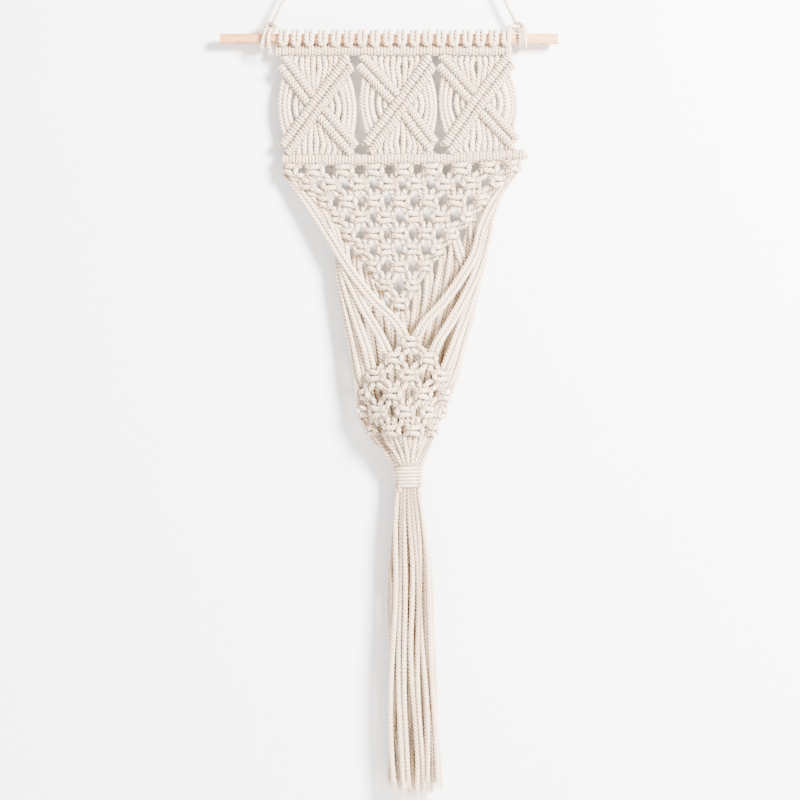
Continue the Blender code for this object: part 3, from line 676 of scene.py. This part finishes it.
sideRoutes = {  # x, y and drop of each pair on its way from the triangle's edge to the pocket, left and right
    -1: (((-84, -3, 169), (-64, -6.5, 201), (-46, -9, 230), (-21, -13, 262), (4, -17, 288)),
         ((-72, -2.5, 175), (-58, -5, 210), (-46, -7.5, 240), (-30, -12, 272), (-12, -18.5, 303)),
         ((-61, -2, 190), (-55, -4, 218), (-49, -6.5, 247), (-38, -10, 282), (-27, -16, 315)),
         ((-56, -1.5, 205), (-54.5, -3, 235), (-48, -5.5, 268), (-39, -9, 308), (-33, -13, 337)),
         ((-50, -0.8, 220), (-53, -2, 245), (-48, -4, 275), (-40, -7, 318), (-35.5, -8.5, 350))),
    1: (((99, -3, 163), (87, -6.5, 188), (80, -9, 214), (66, -12, 239), (48, -15, 264), (27, -17.5, 288)),
        ((97, -2.5, 172), (92, -5, 198), (84, -7.5, 227), (72, -11, 254), (55, -16, 284), (41, -20, 307)),
        ((89, -2, 190), (88, -4, 216), (81, -6.5, 245), (70, -10, 277), (57, -15, 312)),
        ((79, -1.5, 205), (82.5, -3, 232), (78, -5, 262), (68, -8, 300), (57, -12, 336)),
        ((66, -0.8, 217), (75, -2, 243), (76, -4, 268), (67, -6.5, 304), (56, -9, 347))),
}
sideLook = {"spread": 2.35, "step": 0.3, "y": 0.2, "outerHeight": 4.2, "innerHeight": 6.0}


def addPair(bundle, starts, route, ends):
    points = [at(*spot) for spot in route]
    for sign, start, end in zip((-1, 1), starts, ends):
        full, shifted = [start] + points + [end], []
        for k, point in enumerate(points, start=1):
            along = full[k + 1] - full[k - 1]
            side = np.array((along[2], 0.0, -along[0]))
            side /= np.linalg.norm(side)
            step = np.array((0.0, sign * sideLook["step"] * mm, 0.0))
            shifted.append(point - side * sign * sideLook["spread"] * mm + step)
        addCord(bundle, [start] + shifted + [end])


def addSidePairs(bundle, net, pocketKnots):  # the pairs that leave the triangle's upper rows
    size, places = sideLook, ((knotSize["worker"], "outerHeight"), (knotSize["core"], "innerHeight"))
    for number in range(len(sideRoutes[1])):
        for side in (-1, 1):
            upper, lower = (rows[number][0 if side < 0 else -1] for rows in (net, pocketKnots))
            starts = [upper(side * reach, size["y"], -size[height]) for reach, height in places]
            ends = [lower(side * reach, size["y"], size[height]) for reach, height in places]
            addPair(bundle, starts[::-side], sideRoutes[side][number], ends[::-side])


def addPocketLegs(bundle, rows):
    for upperRow, lowerRow in zip(rows, rows[1:]):
        if len(lowerRow) > len(upperRow):
            for k, upper in enumerate(upperRow):
                addLeg(bundle, upper, lowerRow[k], -1)
                addLeg(bundle, upper, lowerRow[k + 1], 1)
        else:
            for k, lower in enumerate(lowerRow):
                addLeg(bundle, upperRow[k], lower, 1)
                addLeg(bundle, upperRow[k + 1], lower, -1)


wrap = {"x": 13.0, "y": -4.5, "top": 424.0, "bottom": 449.5, "wide": 15.6, "deep": 11.0, "cord": 1.85,
        "turns": 6.3, "points": 14, "startTurn": 2.2, "twistPitch": 9.0, "tone": 0.1}
gathered = {"radius": 2.7, "y": 0.2, "wide": 0.8, "depths": (7.0, 3.0), "rounding": 0.7, "below": 3.0,
            "bowOut": 0.04, "bowFront": 1.0, "near": 0.88, "nearFront": 0.8,
            "edgeHeights": (-4.5, -10.0), "edgeTurnIn": 6.0, "heights": (-6.0, -9.0)}


def addGathered(bundle, rows):  # the pocket's cords on their way down into the wrap
    size, inner, outer = gathered, knotSize["core"], knotSize["worker"]
    leaves = []
    for side, spot in ((-1, rows[-2][0]), (1, rows[-2][-1])):
        for reach in (outer, inner):
            ways = zip((reach, reach - size["edgeTurnIn"]), size["edgeHeights"])
            leaves.append([spot(side * far, size["y"], height) for far, height in ways])
    for spot in rows[-1]:
        for reach in (-outer, -inner, inner, outer):
            leaves.append([spot(reach, size["y"], height) for height in size["heights"]])
    leaves.sort(key=lambda leave: leave[0][0])
    for k, (start, leave) in enumerate(leaves):
        lane = 2 * k / (len(leaves) - 1) - 1
        y = wrap["y"] - size["depths"][k % 2] * sqrt(1.0 - size["rounding"] * lane ** 2)
        low = at(wrap["x"] + lane * size["wide"] * wrap["wide"], y, wrap["top"] + size["below"])
        bow = np.array(((low[0] - leave[0]) * size["bowOut"], -size["bowFront"] * mm, 0.0))
        near = mix(leave, low, size["near"]) - np.array((0.0, size["nearFront"] * mm, 0.0))
        addCord(bundle, [start, leave, mix(leave, low, 0.5) + bow, near, low], size["radius"])


lowStarts = tuple((row, reach, 6.0) for row in (8, 7, 6, 5) for reach in (2.9, 8.4))
backStarts = {  # row of the edge knot, how far out and down from it a cord starts, from the middle outwards
    -1: lowStarts + ((4, 4.0, 4.0), (4, 9.0, 4.0)),
    1: lowStarts + ((4, 0.0, 4.0), (4, 4.5, 4.0), (4, 9.0, 4.0), (3, 1.0, 4.0), (3, 5.5, 4.0),
                    (3, 10.0, 4.0)),
}
backLanes = {  # drop, and the x of the innermost and the outermost cord there
    -1: ((226.0, 3.0, -52.0), (250.0, 3.0, -49.0), (285.0, 3.0, -45.0), (320.0, 3.0, -36.0),
         (352.0, 4.0, -28.0)),
    1: ((204.0, 18.0, 80.0), (226.0, 16.0, 77.0), (250.0, 13.0, 73.0), (285.0, 9.0, 65.0), (320.0, 8.0, 54.0),
        (352.0, 8.0, 45.0)),
}
# the back cords' tones run dark, as painted shade behind the pocket
backLook = {"radius": 2.95, "tonesAndShade": (1.1, 1.9), "startY": 1.2, "leaveY": 1.8, "leaveOut": 0.4,
            "leaveDown": 3.0, "depths": (1.0, 4.0), "firstBelow": 14.0, "stray": 0.3, "inWrap": (0.04, 0.78),
            "wrapDepths": (6.5, 3.0), "nearDrop": 394.0, "wrapAbove": 2.0, "wrapBelow": 4.0}


def addBackCords(bundle, net):  # the cords that hang down behind the pocket, with darker tones as painted shade
    size = backLook
    for side, starts in backStarts.items():
        for k, (row, reach, down) in enumerate(starts):
            upper = net[row][0 if side < 0 else -1]
            start = upper(side * reach, size["startY"], -down)
            leave = upper(side * (reach + size["leaveOut"]), size["leaveY"], -down - size["leaveDown"])
            lane, depth = k / (len(starts) - 1), size["depths"][k % 2]
            firstDrop = -start[2] / mm - hookToDowel + size["firstBelow"]
            spots = [start, leave]
            for drop, inner, outer in backLanes[side]:
                if drop >= firstDrop:
                    x = mix(inner, outer, lane) + stray(size["stray"])
                    spots.append(at(x, depth, drop))
            wrapX = wrap["x"] + side * mix(*size["inWrap"], lane) * wrap["wide"]
            wrapY = wrap["y"] + size["wrapDepths"][k % 2]
            spots.append(at(mix(mix(*backLanes[side][-1][1:], lane), wrapX, 0.5), depth, size["nearDrop"]))
            spots.append(at(wrapX, wrapY, wrap["top"] - size["wrapAbove"]))
            spots.append(at(wrapX, wrapY, wrap["top"] + size["wrapBelow"]))
            addCord(bundle, spots, size["radius"], tone=draw.uniform(*size["tonesAndShade"]))


def addPocket(sideCords, pocketNet, backCords, net):
    rows = addPocketKnots(pocketNet)
    addSidePairs(sideCords, net, rows)
    addPocketLegs(pocketNet, rows)
    addGathered(pocketNet, rows)
    addBackCords(backCords, net)
    print("pocket laid")


wrapTail = ((0.62, 0.84, -0.4), (0.52, 0.72, 3.0))  # shares of half width and depth, and drop past its edge


def addWrap(bundle):
    wide, deep = wrap["wide"] - wrap["cord"], wrap["deep"] - wrap["cord"]
    steps, spots = int(wrap["turns"] * wrap["points"]), []
    for k in range(steps + 1):
        angle = 2 * pi * k / wrap["points"] + wrap["startTurn"]
        drop = mix(wrap["top"] + wrap["cord"], wrap["bottom"] - wrap["cord"], k / steps)
        spots.append(at(wrap["x"] + wide * cos(angle), wrap["y"] - deep * sin(angle), drop))
    for across, front, past in wrapTail:
        spots.append(at(wrap["x"] - wide * across, wrap["y"] - deep * front, wrap["bottom"] + past))
    addCord(bundle, spots, wrap["cord"], wrap["twistPitch"], wrap["tone"])
    print("wrap wound")


tassel = {
    "columns": (7, 9, 10, 10), "depths": (-1.0, -0.15, 0.45, 1.0), "rounding": (0.1, 0.1, 0.2, 0.35),
    "radius": 2.6, "radiusStray": (0.95, 1.06), "twistPitch": 11.0, "pitchStray": (0.92, 1.1),
    # row 1, the row behind the front one, gets a darker tone as painted shade
    "tone": 1.0, "shadedRow": 1, "shadeTone": 2.8, "steps": 12, "startBelow": 8.0, "columnStray": 0.2,
    "endX": 20.0, "endDrop": 748.0, "endRise": 7.0, "endStray": (-11.0, 1.0), "looseShare": 0.25,
    "wideTop": 17.5, "wideEnd": 28.5, "wideNeck": 4.5, "widening": 0.55,
    "deepTop": 9.5, "deepEnd": 12.5, "deepNeck": 2.0, "deepening": 0.5, "wallY": 9.0,
    "swing": (0.8, 3.0), "phases": (0.0, 6.3), "waves": (1.1, 1.9),
    "deepSwing": 0.7, "deepPhase": 1.7, "deepWave": 5.0,
}


def tasselRoute(across, depth, narrow):
    size = tassel
    swing, phase, waves = (draw.uniform(*size[key]) for key in ("swing", "phases", "waves"))
    end = size["endDrop"] - size["endRise"] * across ** 2 + draw.uniform(*size["endStray"])
    spots = []
    for step in range(size["steps"] + 1):
        share = step / size["steps"]
        drop = mix(wrap["top"] + size["startBelow"], end, share)
        spread = min(max((drop - wrap["bottom"]) / (size["endDrop"] - wrap["bottom"]), 0.0), 1.0)
        loose = min(1.0, spread / size["looseShare"])
        neck = 1 - loose
        wide = mix(size["wideTop"] - size["wideNeck"] * neck, size["wideEnd"], spread ** size["widening"])
        deep = mix(size["deepTop"] - size["deepNeck"] * neck, size["deepEnd"], spread ** size["deepening"])
        wave = swing * sin(phase + 2 * pi * waves * share) * loose
        deepWave = swing * sin(phase * size["deepPhase"] + size["deepWave"] * share) * loose
        x = mix(wrap["x"], size["endX"], spread) + across * (wide * narrow - size["radius"]) + wave
        y = wrap["y"] + depth * (deep - size["radius"]) + size["deepSwing"] * deepWave
        spots.append(at(x, min(y, size["wallY"]), drop))
    return spots


def addTassel(bundle):  # rows of cords from the front to the wall, and their ends for the fray
    size, ends = tassel, []
    for row, columns in enumerate(size["columns"]):
        depth = size["depths"][row]
        narrow = sqrt(1.0 - size["rounding"][row] * depth ** 2)
        for column in range(columns):
            place = column + 0.5 + stray(size["columnStray"])
            spots = tasselRoute(2.0 * place / columns - 1.0, depth, narrow)
            radius = size["radius"] * draw.uniform(*size["radiusStray"])
            pitch = size["twistPitch"] * draw.uniform(*size["pitchStray"])
            # painted shade: the row behind the front one is darker
            tone = size["shadeTone"] if row == size["shadedRow"] else size["tone"] + draw.random()
            route = addCord(bundle, spots, radius, pitch, tone)
            ends.append((route[-1], route[-1] - route[-4]))
    print("tassel laid")
    return ends


hanger = {"radius": 2.1, "left": -124.0, "right": 126.0, "hookBend": 3.0, "twistPitch": 8.5, "tone": 0.4,
          "topSteps": 6,
          "legLeft": (0.0, 0.05, 0.3, 0.6, 0.9, 0.97), "legRight": (0.03, 0.1, 0.4, 0.7, 0.95, 1.0)}
ties = (  # x of the first and last turn round the dowel, the knot above it, and free ends as x, y and drop
    {"turns": (-131.5, -127.5), "count": 2, "knot": (-124.5, -1.0, -12.2), "lean": 0.5, "ends": (
        ((-126.5, -3.0, -11.0), (-129.0, -6.8, -8.0), (-130.8, -8.4, -3.0), (-131.6, -9.0, 2.0),
         (-132.4, -8.8, 6.0)),
        ((-122.5, -3.0, -11.0), (-125.0, -8.0, -6.0), (-126.5, -9.8, 0.5), (-126.0, -9.0, 6.0),
         (-124.5, -8.0, 12.0)))},
    {"turns": (124.3, 131.4), "count": 3, "knot": (123.0, -1.0, -12.2), "lean": -0.5, "ends": (
        ((124.0, -3.5, -11.5), (120.0, -6.2, -12.0), (115.0, -6.5, -11.6)),)},
)
tieLook = {"points": 16, "gap": 0.15, "endRadius": 0.95, "endTone": 0.35,
           "knotRadius": 1.15, "knotTone": 0.2, "knotPoints": 12, "knotSteps": 30, "knotWide": 4.4,
           "knotHigh": 3.6, "knotDeep": 1.8, "knotPace": 1.5, "knotFront": 1.0, "knotDown": 0.8}


def addHangerLegs(bundle):
    bend = hanger["hookBend"] + hanger["radius"]
    footLeft, footRight = (at(tie["knot"][0], 0.0, tie["knot"][2]) for tie in ties)
    rise = atan2(hookToDowel + ties[0]["knot"][2], (hanger["right"] - hanger["left"]) / 2)
    top = []
    for k in range(hanger["topSteps"] + 1):
        angle = mix(pi / 2 + rise, pi / 2 - rise, k / hanger["topSteps"])
        top.append(np.array((bend * cos(angle), 0.0, bend * sin(angle) - hanger["hookBend"])) * mm)
    left = [mix(footLeft, top[0], share) for share in hanger["legLeft"]]
    right = [mix(top[-1], footRight, share) for share in hanger["legRight"]]
    addCord(bundle, left + top + right, hanger["radius"], hanger["twistPitch"], hanger["tone"])


def addTie(bundle, tie):  # its turns round the dowel, its knot and its free ends
    look, pitch, (x, y, drop) = tieLook, hanger["twistPitch"], tie["knot"]
    reach = dowelSize["radius"] + hanger["radius"] + look["gap"]
    steps, turns = look["points"] * tie["count"], []
    for k in range(1, steps):
        angle = 2 * pi * k / look["points"] - pi / 2
        turns.append(at(mix(*tie["turns"], k / steps), -reach * cos(angle), reach * sin(angle)))
    addCord(bundle, [at(x, y, drop)] + turns + [at(x, y, drop)], hanger["radius"], pitch, hanger["tone"])
    loops = []
    for k in range(look["knotSteps"] + 1):
        turn = 2 * pi * k / look["knotPoints"]
        across = look["knotWide"] * cos(turn) + tie["lean"] * (2 * k / look["knotSteps"] - 1)
        front = look["knotDeep"] * sin(turn * look["knotPace"]) + look["knotFront"]
        loops.append(at(x + across, y - front, drop + look["knotDown"] - look["knotHigh"] * sin(turn)))
    addCord(bundle, loops, hanger["radius"] * look["knotRadius"], pitch, look["knotTone"])
    ends = []
    for spots in tie["ends"]:
        route = addCord(bundle, [at(*spot) for spot in spots], hanger["radius"] * look["endRadius"], pitch,
                        look["endTone"])
        ends.append((route[-1], route[-1] - route[-4]))
    return ends


def addHanger(bundle):
    addHangerLegs(bundle)
    ends = [end for tie in ties for end in addTie(bundle, tie)]
    print("hanging cord tied")
    return ends


frays = {
    "tasselFray": {"node": "tassel", "radius": tassel["radius"], "length": 13.0, "count": 16, "thick": 0.28},
    "tieFray": {"node": "hanger_cord", "radius": hanger["radius"], "length": 7.0, "count": 22, "thick": 0.2},
}
fibreLook = {"inside": 1.6, "within": 0.92, "lengths": (0.45, 1.0), "flares": (0.2, 1.6), "leastFlare": 0.3,
             "curl": 0.9, "shares": (0.0, 0.3, 0.6, 0.85, 1.0), "tip": 0.45, "tone": 0.2,
             "flareShape": 1.5, "curlShape": 2}


def fibreRoutes(ends, fray):  # loose fibres that leave each cut end and spread
    look, routes = fibreLook, []
    for end, way in ends:
        way = way / np.linalg.norm(way)
        side = np.cross(way, np.array((0.0, 1.0, 0.0)))
        side /= np.linalg.norm(side)
        other = np.cross(way, side)
        for _ in range(fray["count"]):
            angle, reach = draw.uniform(0, 2 * pi), sqrt(draw.random()) * fray["radius"] * look["within"]
            out = side * cos(angle) + other * sin(angle)
            length = (fray["length"] * draw.uniform(*look["lengths"]) + look["inside"]) * mm
            flare = draw.uniform(*look["flares"]) * (reach / fray["radius"] + look["leastFlare"]) * mm
            curl = (side * stray(1) + other * stray(1)) * look["curl"] * mm
            start = end - way * look["inside"] * mm + out * reach * mm
            routes.append([start + way * length * share + out * flare * share ** look["flareShape"]
                           + curl * share ** look["curlShape"]
                           for share in look["shares"]])
    return routes


def makeFibres(name, ends, finishes):
    fray, curve = frays[name], newTubes(name)
    curve.bevel_depth = fray["thick"] * mm
    curve.bevel_resolution = 0
    for route in fibreRoutes(ends, fray):
        spline = curve.splines.new('POLY')
        spline.points.add(len(route) - 1)
        for k, point in enumerate(route):
            spline.points[k].co = (*point, 1.0)
            spline.points[k].radius = mix(1.0, fibreLook["tip"], k / (len(route) - 1))
    mesh = curveToMesh(curve)
    count = len(mesh.vertices)
    markPoints(mesh, np.full(count, fibreLook["tone"]), np.ones(count), np.zeros(count))
    weld(mesh)
    placePiece(mesh, fray["node"], finishes)


def makeObject():
    finishes = {"wood": sandedBeech("sandedBeech", woodLook), "cotton": cottonCord("cottonCord", cottonLook),
                "hanging_cotton": cottonCord("hangingTwine", cottonLook)}
    makeDowel(finishes)
    bundles = {name: [] for name in cordPieces}
    addHeads(bundles["larkHeads"])
    addRows(bundles["hitchRows"], bundles["larkHeads"])
    addMotifs(bundles["hitchRows"], bundles["motifCords"])
    net = addNet(bundles["netKnots"])
    addPocket(bundles["sideCords"], bundles["pocketNet"], bundles["backCords"], net)
    addWrap(bundles["wrapCord"])
    tasselEnds = addTassel(bundles["tasselCords"])
    tieEnds = addHanger(bundles["hangerTwine"])
    near = layNeighbours([cord for cords in bundles.values() for cord in cords])
    print("neighbours found")
    outline, laid = plyOutline(), 0
    for name, cords in bundles.items():
        makeCords(name, cords, outline, near, laid, finishes)
        laid += len(cords)
    bpy.data.objects.remove(outline)
    makeFibres("tasselFray", tasselEnds, finishes)
    makeFibres("tieFray", tieEnds, finishes)


room = {"wall": (0.857, 0.86, 0.87, 1.0), "floor": (0.72, 0.70, 0.675, 1.0), "roughness": 0.9, "size": 6.0,
        "wallY": 0.0135, "floorZ": -1.45, "middle": (0.0, 0.0, -0.6)}
lamps = {
    "window": {"place": (1.5, -1.7, 0.45), "size": 0.7, "energy": 630.0, "colour": (1.0, 0.99, 0.98)},
    "fill": {"place": (-1.6, -2.2, -0.2), "size": 2.2, "energy": 45.0, "colour": (0.97, 0.98, 1.0)},
}
daylight = {"colour": (1.0, 0.955, 0.91, 1.0), "edge": 0.3, "front": 0.85, "rear": 0.3}
view = {"x": 0.005, "z": -0.616, "distance": 2.5, "frame": 0.8, "clipEnd": 20.0}


def makePlane(name, place, turn, colour):
    shape = bmesh.new()
    bmesh.ops.create_grid(shape, x_segments=1, y_segments=1, size=room["size"] / 2)
    mesh = bpy.data.meshes.new(name)
    shape.to_mesh(mesh)
    shape.free()
    material, tree, shader = newMaterial("pale" + name.capitalize(),
                                         {"Base Color": colour, "Roughness": room["roughness"]})
    mesh.materials.append(material)
    plane = placeObject(name, mesh)
    plane.location = place
    plane.rotation_euler = turn
    return tree, shader


def clearFromBehind(tree, shader):  # the wall doesn't hide the hanging's back
    behind = addNode(tree, "ShaderNodeNewGeometry").outputs["Backfacing"]
    clear = addNode(tree, "ShaderNodeBsdfTransparent").outputs[0]
    choice = addNode(tree, "ShaderNodeMixShader", {0: behind, 1: shader.outputs[0], 2: clear}).outputs[0]
    tree.links.new(choice, tree.nodes["Material Output"].inputs["Surface"])


def addLamp(name, place, size, energy, colour):
    light = bpy.data.lights.new(name, 'AREA')
    light.size = size
    light.energy = energy
    light.color = colour
    lamp = placeObject(name, light)
    lamp.location = place
    lamp.rotation_euler = (Vector(room["middle"]) - Vector(place)).to_track_quat('-Z', 'Y').to_euler()


def makeDaylight():  # brighter from the room than from behind the wall
    world = bpy.data.worlds.new("softDaylight")
    bpy.context.scene.world = world
    world.use_nodes = True
    tree = world.node_tree
    way = addNode(tree, "ShaderNodeTexCoord").outputs["Generated"]
    parts = addNode(tree, "ShaderNodeSeparateXYZ", {0: way})
    strength = addNode(tree, "ShaderNodeMapRange", {
        "Value": parts.outputs["Y"], "From Min": -daylight["edge"], "From Max": daylight["edge"],
        "To Min": daylight["front"], "To Max": daylight["rear"]}).outputs["Result"]
    background = tree.nodes["Background"]
    background.inputs["Color"].default_value = daylight["colour"]
    tree.links.new(strength, background.inputs["Strength"])


def makeCamera():
    lens = bpy.data.cameras.new("camera")
    lens.lens = lens.sensor_width * view["distance"] / view["frame"]
    lens.clip_end = view["clipEnd"]
    camera = placeObject("camera", lens)
    camera.location = (view["x"], -view["distance"], view["z"])
    camera.rotation_euler = (pi / 2, 0.0, 0.0)
    bpy.context.scene.camera = camera


def makeRoom():
    wall = makePlane("wall", (0.0, room["wallY"], room["middle"][2]), (pi / 2, 0.0, 0.0), room["wall"])
    clearFromBehind(*wall)
    makePlane("floor", (0.0, 0.0, room["floorZ"]), (0.0, 0.0, 0.0), room["floor"])
    for name, lamp in lamps.items():
        addLamp(name, **lamp)
    makeDaylight()
    makeCamera()
    print("room made")


makeObject()
makeRoom()
print("scene ready")
